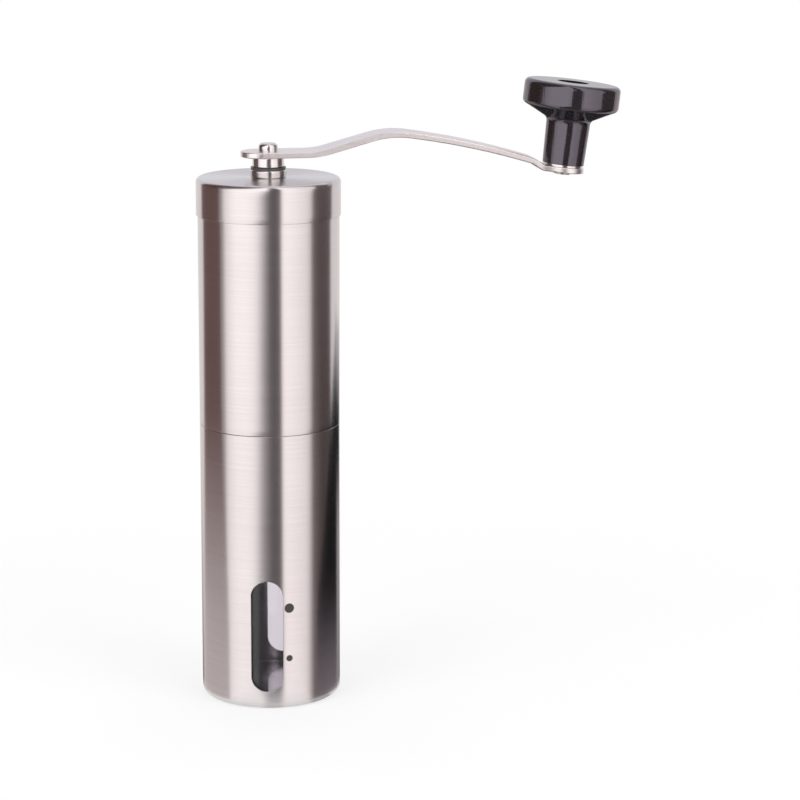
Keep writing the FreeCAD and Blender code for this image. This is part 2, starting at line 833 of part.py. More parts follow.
def drive_socket():
    body = new_body("drive_socket")
    rim = "socket_d / 2"
    neck = "socket_neck_d / 2"
    hole = "(rivet_d / 2 + rivet_fit)"
    turned = revolve(body, [
        (hole, NECK_FOOT),
        (neck, NECK_FOOT),
        (neck, SOCKET_FOOT),
        (rim, SOCKET_FOOT),
        (rim, ARM_UNDER),
        (hole, ARM_UNDER),
    ])
    edges = rings(turned, rim, SOCKET_FOOT) + rings(turned, rim, ARM_UNDER)
    round_over(body, turned, edges, "socket_edge")
    hexagon = new_sketch(body, "socket_hexagon", "XY_Plane", lift=NECK_FOOT)
    corner = "((hex_across / 2 + hex_fit) / cos(180 / hex_sides))"
    around = [f"({k} * 360 / hex_sides)" for k in range(SIZES["hex_sides"])]
    closed_outline(hexagon, [(f"{corner} * cos({k})", f"{corner} * sin({k})") for k in around])
    pocket(body, hexagon, f"{HEX_TOP} + hex_fit - {NECK_FOOT}")


def socket_rivet():
    body = new_body("socket_rivet")
    head = "rivet_head_d / 2"
    shank = "rivet_d / 2"
    foot = f"({HEX_TOP} + 2 * hex_fit)"
    top = f"({ARM_TOP} + rivet_head)"
    turned = revolve(body, [
        ("0", foot),
        (shank, foot),
        (shank, ARM_TOP),
        (head, ARM_TOP),
        (head, top),
        ("0", top),
    ])
    round_over(body, turned, rings(turned, head, top), "rivet_round")


def arm_path(body):
    """Middle line of the bent bar, in the upright plane of the arm: flat on the hub, up to a
    rounded peak, down in a long sweep, then a joggle down to the tilted pad under the knob."""
    path = new_sketch(body, "arm_line")
    middle = f"({ARM_UNDER} + arm_thickness / 2)"
    pad_x = "(crank_reach - arm_thickness / 2 * sin(pad_tilt))"
    pad_z = f"({ARM_TOP} - pad_drop - arm_thickness / 2 * cos(pad_tilt))"
    rise = math.radians(value("rise_angle"))
    joggle = math.radians(value("joggle_angle"))
    tilt = math.radians(value("pad_tilt"))

    def ahead(heading):
        return Vector(math.cos(heading), math.sin(heading), 0)

    def leftward(heading):
        return Vector(-math.sin(heading), math.cos(heading), 0)

    def bend(start, heading, radius, turn):
        """An arc that carries on from a heading, with the point and heading where it ends."""
        side = math.copysign(1, turn)
        centre = start + leftward(heading) * (side * radius)
        first = heading - side * math.pi / 2
        item = arc(path, centre, radius, min(first, first + turn), max(first, first + turn))
        end = centre + ahead(first + turn) * radius
        return item, end, heading + turn

    hub_end = Vector(-value("arm_overhang"), value(middle), 0)
    flat_end = Vector(value("arm_flat"), value(middle), 0)
    flat = straight(path, hub_end, flat_end)
    up_bend, point, heading = bend(flat_end, 0, value("rise_radius"), rise)
    peak_start = point + Vector(1, math.tan(rise), 0) * (value("peak_start") - point.x)
    climb = straight(path, point, peak_start)
    peak_turn = math.asin(value("(peak_end - peak_start) / peak_radius") - math.sin(rise))
    peak, point, heading = bend(peak_start, rise, value("peak_radius"), -rise - peak_turn)

    # Back from the pad to the top of the joggle, then the sweep that meets the bend there
    pad_start = Vector(value(f"{pad_x} - pad_flat"), value(f"{pad_z} + pad_flat * tan(pad_tilt)"), 0)
    pad_centre = pad_start + leftward(-tilt) * value("pad_radius")
    drop_end = pad_centre - leftward(-joggle) * value("pad_radius")
    drop_start = drop_end - ahead(-joggle) * value("joggle_drop")
    joggle_r = value("joggle_radius")
    apart = point - drop_start + leftward(-joggle) * joggle_r
    sweep_r = (joggle_r ** 2 - apart.dot(apart)) / (2 * (joggle_r - apart.dot(leftward(heading))))
    to_joggle = (leftward(heading) * sweep_r - apart) / (sweep_r - joggle_r)
    joggle_start = math.atan2(-to_joggle.x, to_joggle.y)
    sweep, point, heading = bend(point, heading, sweep_r, joggle_start - heading)
    down_bend, point, heading = bend(point, heading, joggle_r, -joggle - heading)
    drop = straight(path, point, drop_end)
    level_bend, point, heading = bend(drop_end, heading, value("pad_radius"), joggle - tilt)
    tip = Vector(value(f"{pad_x} + pad_d"), value(f"{pad_z} - pad_d * tan(pad_tilt)"), 0)
    seat = straight(path, point, tip)

    # A bend to the left runs from its first end to its second, and one to the right the other way
    chain = [(flat, 1, 2), (up_bend, 1, 2), (climb, 1, 2), (peak, 2, 1), (sweep, 2, 1),
             (down_bend, 2, 1), (drop, 1, 2), (level_bend, 1, 2), (seat, 1, 2)]
    for (item, _, leave), (following, enter, _) in zip(chain, chain[1:]):
        path.addConstraint(Sketcher.Constraint("Tangent", item, leave, following, enter))
    path.addConstraint(Sketcher.Constraint("Horizontal", flat))
    place_point(path, flat, 1, "-arm_overhang", middle)
    hold(path, "DistanceX", (-1, 1, flat, 2), "arm_flat")
    for item, radius in ((up_bend, "rise_radius"), (peak, "peak_radius"),
                         (down_bend, "joggle_radius"), (level_bend, "pad_radius")):
        hold(path, "Radius", (item,), radius)
    hold(path, "Distance", (drop,), "joggle_drop")
    hold(path, "DistanceX", (-1, 1, climb, 2), "peak_start")
    hold(path, "DistanceX", (-1, 1, peak, 1), "peak_end")
    hold(path, "DistanceX", (-1, 1, seat, 1), f"{pad_x} - pad_flat")
    place_point(path, seat, 2, f"{pad_x} + pad_d", f"{pad_z} - pad_d * tan(pad_tilt)")
    for line, angle in ((climb, "rise_angle"), (drop, "-joggle_angle"), (seat, "-pad_tilt")):
        index = path.addConstraint(Sketcher.Constraint("Angle", line, math.radians(value(angle))))
        path.setExpression(f"Constraints[{index}]", f"{bound(angle)} * 1 deg")
    doc.recompute()
    return path


def arm_outline(body):
    """Plan of the arm: a round hub end, sides that close in, and a round pad, inside a frame
    to be cut off."""
    plan = new_sketch(body, "arm_plan", "XY_Plane")
    hub_r = value("arm_hub_w / 2")
    hub_x = value("arm_hub_w / 2 - arm_overhang")
    pad_r = value("pad_d / 2")
    pad_x = value("crank_reach")
    neck_r = value("arm_neck_radius")
    neck_y = value("arm_neck_w / 2")
    neck_x = pad_x - math.sqrt((pad_r + neck_r) ** 2 - (neck_y + neck_r) ** 2)
    lean = math.atan2(hub_r - neck_y, neck_x - hub_x)
    reach = math.atan2(neck_y + neck_r, pad_x - neck_x)
    hub = arc(plan, Vector(hub_x, 0, 0), hub_r, math.pi / 2 - lean, 3 * math.pi / 2 + lean)
    pad_end = arc(plan, Vector(pad_x, 0, 0), pad_r, reach - math.pi, math.pi - reach)
    necks = {}
    sides = {}
    for side in (1, -1):
        centre = Vector(neck_x, side * (neck_y + neck_r), 0)
        if side > 0:
            necks[side] = arc(plan, centre, neck_r, -math.pi / 2 - lean, -reach)
        else:
            necks[side] = arc(plan, centre, neck_r, reach, math.pi / 2 + lean)
        start = Vector(hub_x + hub_r * math.sin(lean), side * hub_r * math.cos(lean), 0)
        end = Vector(neck_x - neck_r * math.sin(lean), side * neck_y, 0)
        sides[side] = straight(plan, start, end)
    joints = [
        ((hub, 1), (sides[1], 1)),
        ((sides[1], 2), (necks[1], 1)),
        ((necks[1], 2), (pad_end, 2)),
        ((pad_end, 1), (necks[-1], 1)),
        ((necks[-1], 2), (sides[-1], 2)),
        ((sides[-1], 1), (hub, 2)),
    ]
    for first, second in joints:
        plan.addConstraint(Sketcher.Constraint("Tangent", *first, *second))
    hold(plan, "Radius", (hub,), "arm_hub_w / 2")
    hold(plan, "Radius", (pad_end,), "pad_d / 2")
    place_point(plan, hub, 3, "arm_hub_w / 2 - arm_overhang", "0")
    place_point(plan, pad_end, 3, "crank_reach", "0")
    for side, name in ((1, "arm_neck_w / 2"), (-1, "-arm_neck_w / 2")):
        hold(plan, "Radius", (necks[side],), "arm_neck_radius")
        if side > 0:
            hold(plan, "DistanceY", (-1, 1, sides[side], 2), name)
        else:
            hold(plan, "DistanceY", (sides[side], 2, -1, 1), f"-({name})")
    closed_outline(plan, [
        ("-arm_overhang - blank_margin", "-blank_margin"),
        ("crank_reach + blank_margin", "-blank_margin"),
        ("crank_reach + blank_margin", "blank_margin"),
        ("-arm_overhang - blank_margin", "blank_margin"),
    ])
    doc.recompute()
    return plan


def side_edges(feature):
    """Names of the edges where the flat of the bar meets its upright sides."""
    upright = []
    for face in feature.Shape.Faces:
        across, along, _, _ = face.ParameterRange
        normal = face.normalAt(across, along)
        if abs(normal.z) < 1e-6:
            upright.append(face)
    names = []
    for index, edge in enumerate(feature.Shape.Edges, start=1):
        beside = sum(any(edge.isSame(side) for side in face.Edges) for face in upright)
        if beside == 1:
            names.append(f"Edge{index}")
    return names


def crank_arm():
    body = new_body("crank_arm")
    path = arm_path(body)
    section = new_sketch(body, "bar_section", "YZ_Plane", lift="-arm_overhang")
    half = "arm_hub_w"
    closed_outline(section, [
        (f"-{half}", ARM_UNDER),
        (half, ARM_UNDER),
        (half, ARM_TOP),
        (f"-{half}", ARM_TOP),
    ])
    bar = body.newObject("PartDesign::AdditivePipe", "bent_bar")
    bar.Profile = section
    bar.Spine = (path, [f"Edge{k + 1}" for k in range(len(path.Shape.Edges))])
    doc.recompute()
    blank = pocket(body, arm_outline(body), f"{ARM_TOP} + crank_reach")
    round_over(body, blank, side_edges(blank), "arm_edge")
    hub_hole = new_sketch(body, "hub_hole", "XY_Plane", lift=f"{ARM_UNDER} - cut_over")
    circle(hub_hole, "rivet_d / 2 + rivet_fit")
    pocket(body, hub_hole, "arm_thickness + 2 * cut_over")
    axle_hole = new_sketch(body, "axle_hole", "XY_Plane")
    axle_hole.AttachmentOffset = Placement(Vector(), Rotation(Vector(0, 1, 0), value("pad_tilt")))
    above_x = "crank_reach + cut_over * sin(pad_tilt)"
    above_z = f"{ARM_TOP} - pad_drop + cut_over * cos(pad_tilt)"
    axle_hole.setExpression("AttachmentOffset.Base.x", bound(above_x))
    axle_hole.setExpression("AttachmentOffset.Base.z", bound(above_z))
    axle_hole.setExpression("AttachmentOffset.Rotation.Angle", bound("pad_tilt"))
    circle(axle_hole, "axle_d / 2 + axle_fit")
    pocket(body, axle_hole, "arm_thickness + 2 * cut_over", upward=False)


def on_pad(body):
    """Stand a piece that was made upright on the tilted pad of the arm."""
    body.Placement = Placement(Vector(), Rotation(Vector(0, 1, 0), value("pad_tilt")))
    body.setExpression("Placement.Base.x", bound("crank_reach"))
    body.setExpression("Placement.Base.z", bound(f"{ARM_TOP} - pad_drop"))
    body.setExpression("Placement.Rotation.Angle", bound("pad_tilt"))
    doc.recompute()


KNOB_FOOT = "(axle_washer_thickness + knob_play)"
KNOB_TOP = f"({KNOB_FOOT} + knob_height)"
RECESS_FLOOR = f"({KNOB_TOP} - knob_recess)"
AXLE_TOP = f"({RECESS_FLOOR} + knob_play)"


def knob_axle():
    body = new_body("knob_axle")
    pin = "axle_d / 2"
    tail = "axle_tail_d / 2"
    hole = "(screw_d / 2 + axle_fit)"
    turned = revolve(body, [
        ("0", "-arm_thickness - axle_tail"),
        (tail, "-arm_thickness - axle_tail"),
        (tail, "-arm_thickness"),
        (pin, "-arm_thickness"),
        (pin, AXLE_TOP),
        (hole, AXLE_TOP),
        (hole, f"{AXLE_TOP} - screw_length"),
        ("0", f"{AXLE_TOP} - screw_length"),
    ])
    round_over(body, turned, rings(turned, tail, "-arm_thickness - axle_tail"), "axle_tail_round")
    on_pad(body)


def axle_washer():
    bore = "axle_d / 2 + axle_fit"
    on_pad(washer("axle_washer", "axle_washer_d", bore, "0", "axle_washer_thickness"))


def knob():
    body = new_body("knob")
    rim = "knob_d / 2"
    rim_foot = f"({KNOB_TOP} - knob_rim)"
    stem_top = f"({rim_foot} - knob_under)"
    bore = "(axle_d / 2 + axle_fit)"
    turned = revolve(body, [
        (bore, KNOB_FOOT),
        ("knob_stem_d / 2", KNOB_FOOT),
        ("knob_stem_top_d / 2", stem_top),
        (rim, rim_foot),
        (rim, KNOB_TOP),
        ("knob_recess_d / 2", KNOB_TOP),
        ("knob_recess_d / 2", RECESS_FLOOR),
        (bore, RECESS_FLOOR),
    ])
    edges = rings(turned, rim, rim_foot) + rings(turned, rim, KNOB_TOP)
    rim_round = round_over(body, turned, edges, "knob_rim_edge")
    round_over(body, rim_round, rings(rim_round, "knob_stem_top_d / 2", stem_top), "knob_stem_blend")
    on_pad(body)


def knob_screw():
    body = new_body("knob_screw")
    head = "screw_head_d / 2"
    shank = "screw_d / 2"
    top = f"({AXLE_TOP} + screw_head)"
    turned = revolve(body, [
        ("0", f"{AXLE_TOP} - screw_length + screw_d / 2"),
        (shank, f"{AXLE_TOP} - screw_length + screw_d / 2"),
        (shank, AXLE_TOP),
        (head, AXLE_TOP),
        (head, top),
        ("0", top),
    ])
    round_over(body, turned, rings(turned, head, top), "screw_round")
    on_pad(body)


# The hopper and what is fixed in it
body_tube()
burr_carrier()
shaft_bush()
outer_burr()

# The cup for the grounds
grounds_cup()
cup_liner()

# The shaft and what turns with it
drive_shaft()
washer("thrust_washer", "thrust_washer_d", SHAFT_BORE, BUSH_TOP, "thrust_washer_thickness")
shaft_clip()
inner_burr()
washer("spring_seat", "spring_seat_d", SHAFT_BORE, CONE_TOP, "spring_seat_thickness")
burr_spring()
burr_key()
adjuster_dial()
adjuster_nut()

# The lid
lid_cap()
lid_insert()
lid_collar()
lid_bush()

# The handle and its knob
washer("handle_washer", "thrust_ring_d", "socket_neck_d / 2 + hex_fit", COLLAR_TOP, "thrust_ring")
drive_socket()
socket_rivet()
crank_arm()
knob_axle()
axle_washer()
knob()
knob_screw()

doc.recompute()
for item in doc.Objects:
    if "Invalid" in item.State or "Error" in item.State:
        raise RuntimeError(f"{item.Label} failed: {item.State}")
for piece in sub_parts:
    if piece.Shape.isNull() or not piece.Shape.isValid() or len(piece.Shape.Solids) != 1:
        raise RuntimeError(f"{piece.Label} is not one valid solid")

os.makedirs("parts", exist_ok=True)
for piece in sub_parts:
    piece.Shape.exportStep(f"parts/{piece.Label}.step")
    print(f"{piece.Label}: {piece.Shape.Volume:.1f} mm3")
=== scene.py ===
import json
import math

import bmesh
import bpy
from mathutils import Matrix, Vector


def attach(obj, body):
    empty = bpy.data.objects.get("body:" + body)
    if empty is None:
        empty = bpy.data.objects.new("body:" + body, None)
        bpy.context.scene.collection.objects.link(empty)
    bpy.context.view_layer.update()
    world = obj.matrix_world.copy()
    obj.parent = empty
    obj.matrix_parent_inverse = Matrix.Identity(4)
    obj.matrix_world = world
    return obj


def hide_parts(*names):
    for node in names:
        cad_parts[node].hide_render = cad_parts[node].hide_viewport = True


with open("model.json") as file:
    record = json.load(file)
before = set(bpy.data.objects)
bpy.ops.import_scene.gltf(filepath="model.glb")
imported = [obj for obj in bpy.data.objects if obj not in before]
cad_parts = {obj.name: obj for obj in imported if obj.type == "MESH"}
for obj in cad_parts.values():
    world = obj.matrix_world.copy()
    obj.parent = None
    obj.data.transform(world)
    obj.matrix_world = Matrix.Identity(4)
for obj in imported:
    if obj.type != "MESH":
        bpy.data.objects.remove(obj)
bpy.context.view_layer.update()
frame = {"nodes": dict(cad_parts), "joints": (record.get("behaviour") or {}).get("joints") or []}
bpy.context.scene.view_settings.view_transform = "Standard"


# Grounds cup: a drawn stainless cup that pulls off the foot of the hopper tube. It is brushed
# round and round, an upright window is punched through it front and back, and two level dots
# are printed beside the front one. The liner stands a hair clear of its base.

CUP_R = 24.5
CUP_WALL = 0.6
CUP_HEIGHT = 98.0
CUP_BASE = 1.0
LINER_GAP = 0.05
WINDOW_W = 11.1
WINDOW_SPAN = (6.4, 46.4)
WINDOW_ANGLES = (258.9, 72.0)
WALL_SLACK = 0.01


def eased(corners, steps=6, run=2.0):
    """Closed outline in metres through corners of radius, height and rounding in millimetres. Its
    straight runs are divided, so that the shading of an eased corner stays at that corner."""
    rounded = []
    for index, (radius, height, ease) in enumerate(corners):
        corner = Vector((radius, height))
        before = (Vector(corners[index - 1][:2]) - corner).normalized()
        after = (Vector(corners[(index + 1) % len(corners)][:2]) - corner).normalized()
        if not ease:
            rounded.append(corner)
            continue
        half = before.angle(after) / 2
        centre = corner + (before + after).normalized() * (ease / math.sin(half))
        start = corner + before * (ease / math.tan(half)) - centre
        end = corner + after * (ease / math.tan(half)) - centre
        sweep = -start.angle_signed(end)
        for step in range(steps + 1):
            rounded.append(centre + Matrix.Rotation(sweep * step / steps, 2) @ start)
    outline = []
    for point, following in zip(rounded, rounded[1:] + rounded[:1]):
        length = (following - point).length
        parts = math.ceil(length / run) if min(point.x, following.x) > 0 or length > run else 1
        outline += [point.lerp(following, part / parts) / 1000 for part in range(parts)]
    return outline


def meshed(name, form):
    """An object from a bmesh, smooth but for its sharp edges."""
    mesh = bpy.data.meshes.new(name)
    form.to_mesh(mesh)
    form.free()
    mesh.shade_smooth()
    mesh.set_sharp_from_angle(angle=math.radians(35))
    piece = bpy.data.objects.new(name, mesh)
    bpy.context.scene.collection.objects.link(piece)
    return piece


def turned(name, outline, segments=192):
    """A piece turned about the upright axis from a closed outline of radius and height."""
    form = bmesh.new()
    turns = [k * 2 * math.pi / segments for k in range(segments)]
    rings = []
    for radius, height in outline:
        if radius < 1e-7:
            rings.append([form.verts.new((0, 0, height))] * segments)
        else:
            ring = [(radius * math.cos(turn), radius * math.sin(turn), height) for turn in turns]
            rings.append([form.verts.new(place) for place in ring])
    for lower, upper in zip(rings, rings[1:] + rings[:1]):
        for k in range(segments):
            following = (k + 1) % segments
            corners = dict.fromkeys((lower[k], lower[following], upper[following], upper[k]))
            if len(corners) > 2:
                form.faces.new(list(corners))
    bmesh.ops.recalc_face_normals(form, faces=form.faces)
    return meshed(name, form)


def plain_mesh(piece):
    """Turns a piece with modifiers into a plain mesh."""
    graph = bpy.context.evaluated_depsgraph_get()
    mesh = bpy.data.meshes.new_from_object(piece.evaluated_get(graph))
    piece.modifiers.clear()
    piece.data = mesh


def window_punch(angle):
    """A bar with round ends that stands out of the wall on one side, to cut a window with."""
    half = WINDOW_W / 2
    low, high = WINDOW_SPAN
    ends = []
    for centre, first in ((high - half, 0), (low + half, math.pi)):
        for step in range(25):
            turn = first + math.pi * step / 24
            ends.append((half * math.cos(turn), centre + half * math.sin(turn)))
    form = bmesh.new()
    aim = Matrix.Rotation(math.radians(angle), 3, "Z")
    faces = []
    for reach in (CUP_R - 6, CUP_R + 6):
        corners = [form.verts.new(aim @ Vector((reach, across, up)) / 1000) for across, up in ends]
        faces.append(form.faces.new(corners))
    near, far = (list(face.verts) for face in faces)
    for k in range(len(ends)):
        following = (k + 1) % len(ends)
        form.faces.new((near[k], near[following], far[following], far[k]))
    bmesh.ops.recalc_face_normals(form, faces=form.faces)
    return meshed("window_punch", form)


def true_walls(piece, *radii):
    """Round walls are shaded straight out from the axis, whatever was cut through them."""
    mesh = piece.data
    normals = [Vector(corner.vector) for corner in mesh.corner_normals]
    for face in mesh.polygons:
        reach = [Vector((*mesh.vertices[index].co.xy, 0)) for index in face.vertices]
        for radius in radii:
            if max(abs(point.length - radius / 1000) for point in reach) > WALL_SLACK / 1000:
                continue
            way = math.copysign(1, face.normal.dot(reach[0]))
            for corner, point in zip(face.loop_indices, reach):
                normals[corner] = point.normalized() * way
    mesh.normals_split_custom_set(normals)


class Shade:
    """One output of a shader tree. Arithmetic on it adds Math nodes to the tree."""

    def __init__(self, tree, output=None):
        self.tree = tree
        self.output = output

    def node(self, kind, settings=None, inputs=None, give=0):
        """A node of a type: its settings first, then a value or a link for each socket."""
        made = self.tree.nodes.new(kind)
        for key, setting in (settings or {}).items():
            setattr(made, key, setting)
        for key, wanted in (inputs or {}).items():
            if isinstance(wanted, Shade):
                self.tree.links.new(wanted.output, made.inputs[key])
            else:
                made.inputs[key].default_value = wanted
        return Shade(self.tree, made.outputs[give] if made.outputs else None)

    def maths(self, operation, *values):
        return self.node("ShaderNodeMath", {"operation": operation}, dict(enumerate(values)))

    def __add__(self, other):
        return self.maths("ADD", self, other)

    def __radd__(self, other):
        return self.maths("ADD", other, self)

    def __sub__(self, other):
        return self.maths("SUBTRACT", self, other)

    def __rsub__(self, other):
        return self.maths("SUBTRACT", other, self)

    def __mul__(self, other):
        return self.maths("MULTIPLY", self, other)

    def __rmul__(self, other):
        return self.maths("MULTIPLY", other, self)

    def __truediv__(self, other):
        return self.maths("DIVIDE", self, other)

    def step(self, low, high):
        """Rises smoothly from 0 at low to 1 at high."""
        return self.node("ShaderNodeMapRange", {"interpolation_type": "SMOOTHSTEP"},
                         {"Value": self, "From Min": low, "From Max": high})

    def blend(self, first, second):
        """A colour between two, by this value."""
        return self.node("ShaderNodeMix", {"data_type": "RGBA"}, {0: self, 6: first, 7: second}, 2)

    def noise(self, stretch, detail=2.0):
        """Noise over these coordinates, each stretched by its own number of grains per metre."""
        spread = self.node("ShaderNodeVectorMath", {"operation": "MULTIPLY"}, {0: self, 1: stretch})
        return self.node("ShaderNodeTexNoise", {}, {"Vector": spread, "Scale": 1.0, "Detail": detail})

    def axes(self):
        """The three coordinates of a vector."""
        parts = self.node("ShaderNodeSeparateXYZ", {}, {0: self}).output.node
        return [Shade(self.tree, output) for output in parts.outputs]


class Finish:
    """A material. Fixed values go straight on its shader, and varying ones are linked to it."""

    def __init__(self, name, **fixed):
        self.material = bpy.data.materials.new(name)
        self.material.use_nodes = True
        tree = self.material.node_tree
        self.shader = next(node for node in tree.nodes if node.type == "BSDF_PRINCIPLED")
        for key, number in fixed.items():
            self.shader.inputs[key.replace("_", " ")].default_value = number
        self.place = Shade(tree).node("ShaderNodeTexCoord", give="Object")

    def vary(self, **links):
        for key, shade in links.items():
            self.place.tree.links.new(shade.output, self.shader.inputs[key.replace("_", " ")])

    def bump(self, height, depth):
        """Relief from a height of 0 to 1 that stands for a depth in metres."""
        relief = {"Height": height, "Strength": 1.0, "Distance": depth}
        self.vary(Normal=height.node("ShaderNodeBump", {}, relief))


STEEL_DARK = (0.70, 0.675, 0.67, 1)
STEEL_LIGHT = (0.82, 0.795, 0.79, 1)


def brushed_steel(name):
    """Stainless steel brushed round the axis: fine level scratches that blur what it mirrors upright."""
    steel = Finish(name, Metallic=1.0, Anisotropic=0.85, Anisotropic_Rotation=0.25)
    fine = steel.place.noise((30, 30, 9000), 3.0)
    bands = steel.place.noise((14, 14, 1300), 2.0)
    cloud = steel.place.noise((40, 40, 40), 2.0)
    wear = fine * 0.65 + bands * 0.07 + cloud * 0.28
    steel.vary(Base_Color=wear.step(0.2, 0.8).blend(STEEL_DARK, STEEL_LIGHT), Roughness=wear * 0.12 + 0.17)
    steel.bump(fine, 0.0000025)
    return steel


DOT_ANGLE = 277.3
DOTS = ((36.7, 1.72), (18.5, 1.15))
DOT_SOFT = 0.12
DOT_INK = (0.045, 0.038, 0.038, 1)

cup_steel = brushed_steel("cup_steel")
x, y, z = cup_steel.place.axes()
toward = math.radians(DOT_ANGLE)
across = x * -math.sin(toward) + y * math.cos(toward)
outward = x * math.cos(toward) + y * math.sin(toward)
ink = 0.0
for height, radius in DOTS:
    above = z - height / 1000
    from_centre = above.maths("SQRT", across * across + above * above)
    ink = (1 - from_centre.step((radius - DOT_SOFT) / 1000, (radius + DOT_SOFT) / 1000)) + ink
ink = ink * outward.step(0.0, 0.001)
bare = cup_steel.shader.inputs["Base Color"].links[0].from_socket
rubbed = cup_steel.shader.inputs["Roughness"].links[0].from_socket
cup_steel.vary(
    Base_Color=ink.blend(Shade(ink.tree, bare), DOT_INK),
    Roughness=Shade(ink.tree, rubbed) * (1 - ink) + ink * 0.5,
    Metallic=1 - ink,
)

grounds_cup = turned("grounds_cup_shell", eased([
    (0, 0, 0),
    (CUP_R, 0, 2.5),
    (CUP_R, CUP_HEIGHT, 0.12),
    (CUP_R - CUP_WALL, CUP_HEIGHT, 0.12),
    (CUP_R - CUP_WALL, CUP_BASE - LINER_GAP, 1.9),
    (0, CUP_BASE - LINER_GAP, 0),
], run=1.7))
for angle in WINDOW_ANGLES:
    punch = window_punch(angle)
    window = grounds_cup.modifiers.new("window", "BOOLEAN")
    window.object = punch
    window.solver = "EXACT"
    plain_mesh(grounds_cup)
    bpy.data.objects.remove(punch)
ease_edge = grounds_cup.modifiers.new("deburred_edge", "BEVEL")
ease_edge.width = 0.00012
ease_edge.segments = 2
ease_edge.limit_method = "ANGLE"
ease_edge.angle_limit = math.radians(50)
ease_edge.use_clamp_overlap = False
plain_mesh(grounds_cup)
grounds_cup.data.set_sharp_from_angle(angle=math.radians(50))
true_walls(grounds_cup, CUP_R, CUP_R - CUP_WALL)
grounds_cup.data.materials.clear()
grounds_cup.data.materials.append(cup_steel.material)
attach(grounds_cup, "cup")
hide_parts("grounds_cup")


# Cup liner: a clear moulded beaker that stands in the cup and closes its windows. It is clear
# styrene with a faint haze and the fine scuffs that a scoop leaves.


def dress(finish, *nodes):
    """Gives CAD nodes a finish."""
    for name in nodes:
        for slot in frame["nodes"][name].material_slots:
            slot.material = finish.material


clear_styrene = Finish("clear_styrene", IOR=1.49, Transmission_Weight=1.0)
scuff = clear_styrene.place.noise((900, 900, 160), 3.0)
haze = clear_styrene.place.noise((60, 60, 40), 2.0)
clear_styrene.vary(
    Base_Color=haze.step(0.3, 0.7).blend((0.82, 0.79, 0.83, 1), (0.86, 0.83, 0.87, 1)),
    Roughness=scuff.step(0.55, 0.8) * 0.06 + 0.02,
)
dress(clear_styrene, "cup_liner")


# Hopper tube: a length of thin stainless tube, cut square and brushed round and round. It is
# pressed over the burr carrier, and the cup and the lid close on its two ends.

TUBE_FOOT = 98.1
TUBE_TOP = 182.4
TUBE_WALL = 0.6

hopper_tube = turned("hopper_tube", eased([
    (CUP_R - TUBE_WALL, TUBE_FOOT, 0.12),
    (CUP_R, TUBE_FOOT, 0.12),
    (CUP_R, TUBE_TOP, 0.2),
    (CUP_R - TUBE_WALL, TUBE_TOP, 0.2),
]))
hopper_tube.data.materials.append(brushed_steel("tube_steel").material)
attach(hopper_tube, "body")
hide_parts("body_tube")


# Burr carrier: a dark glass-filled nylon moulding pressed into the tube, with a funnel, the
# pocket of the outer burr and a three-armed spider. The dial under the burr and the insert
# in the lid are moulded in the same nylon.

dark_nylon = Finish("dark_nylon")
grain = dark_nylon.place.noise((2600, 2600, 2600), 2.0)
flow = dark_nylon.place.noise((120, 120, 120), 2.0)
dark_nylon.vary(
    Base_Color=flow.step(0.3, 0.7).blend((0.022, 0.022, 0.024, 1), (0.04, 0.04, 0.043, 1)),
    Roughness=grain * 0.2 + 0.4,
)
dark_nylon.bump(grain, 0.00002)
dress(dark_nylon, "burr_carrier", "adjuster_dial", "lid_insert")


# Thrust ring: a thin washer cut from dark grey acetal sheet. It lies loose between the lid's
# collar and the handle's socket, which turns on it, and comes away with the handle.

grey_acetal = Finish("grey_acetal", Specular_IOR_Level=0.6)
polish = grey_acetal.place.noise((500, 500, 4000), 2.0)
grey_acetal.vary(
    Base_Color=polish.step(0.3, 0.7).blend((0.06, 0.056, 0.056, 1), (0.1, 0.094, 0.092, 1)),
    Roughness=polish * 0.2 + 0.25,
)
dress(grey_acetal, "handle_washer")


# Bushes: turned from pale nylon bar, each with a flange. One is pressed into the spider's hub
# and carries the shaft, and the other steadies it in the lid's collar.

pale_nylon = Finish("pale_nylon")
rings = pale_nylon.place.noise((200, 200, 6000), 2.0)
pale_nylon.vary(
    Base_Color=rings.step(0.3, 0.7).blend((0.72, 0.69, 0.62, 1), (0.8, 0.78, 0.72, 1)),
    Roughness=rings * 0.2 + 0.35,
)
dress(pale_nylon, "shaft_bush", "lid_bush")


# Burrs: pressed and fired ceramic, off-white and matt, with ground teeth. The ring sits in the
# carrier's pocket, and the cone turns inside it on the shaft.

ceramic = Finish("burr_ceramic")
speck = ceramic.place.noise((3200, 3200, 3200), 2.0)
stain = ceramic.place.noise((160, 160, 220), 3.0)
ceramic.vary(
    Base_Color=stain.step(0.5, 0.85).blend((0.82, 0.8, 0.75, 1), (0.66, 0.58, 0.47, 1)),
    Roughness=speck * 0.25 + 0.4,
)
ceramic.bump(speck, 0.000015)
dress(ceramic, "outer_burr", "inner_burr")


# Shaft and small bright pieces: turned and ground steel. The shaft is hexagonal at its top for the
# handle and flatted at its foot for the key that drives the cone. The lid's collar, the handle's
# socket and rivet, and the knob's axle and washer have the same finish.

bright_steel = Finish("bright_steel", Metallic=1.0)
lathe_lines = bright_steel.place.noise((60, 60, 5200), 2.0)
smear = bright_steel.place.noise((300, 300, 300), 2.0)
bright_steel.vary(
    Base_Color=smear.step(0.3, 0.7).blend((0.74, 0.72, 0.71, 1), (0.84, 0.82, 0.81, 1)),
    Roughness=lathe_lines * 0.12 + smear * 0.06 + 0.07,
)
bright_steel.bump(lathe_lines, 0.000003)
dress(bright_steel, "drive_shaft", "spring_seat", "burr_key")
dress(bright_steel, "lid_collar", "drive_socket", "socket_rivet", "knob_axle", "axle_washer")


# Thrust washer: punched from steel strip, its edges drawn round by the punch. It turns with the
# shaft on a film of grease over the bush, and the clip rests on it.

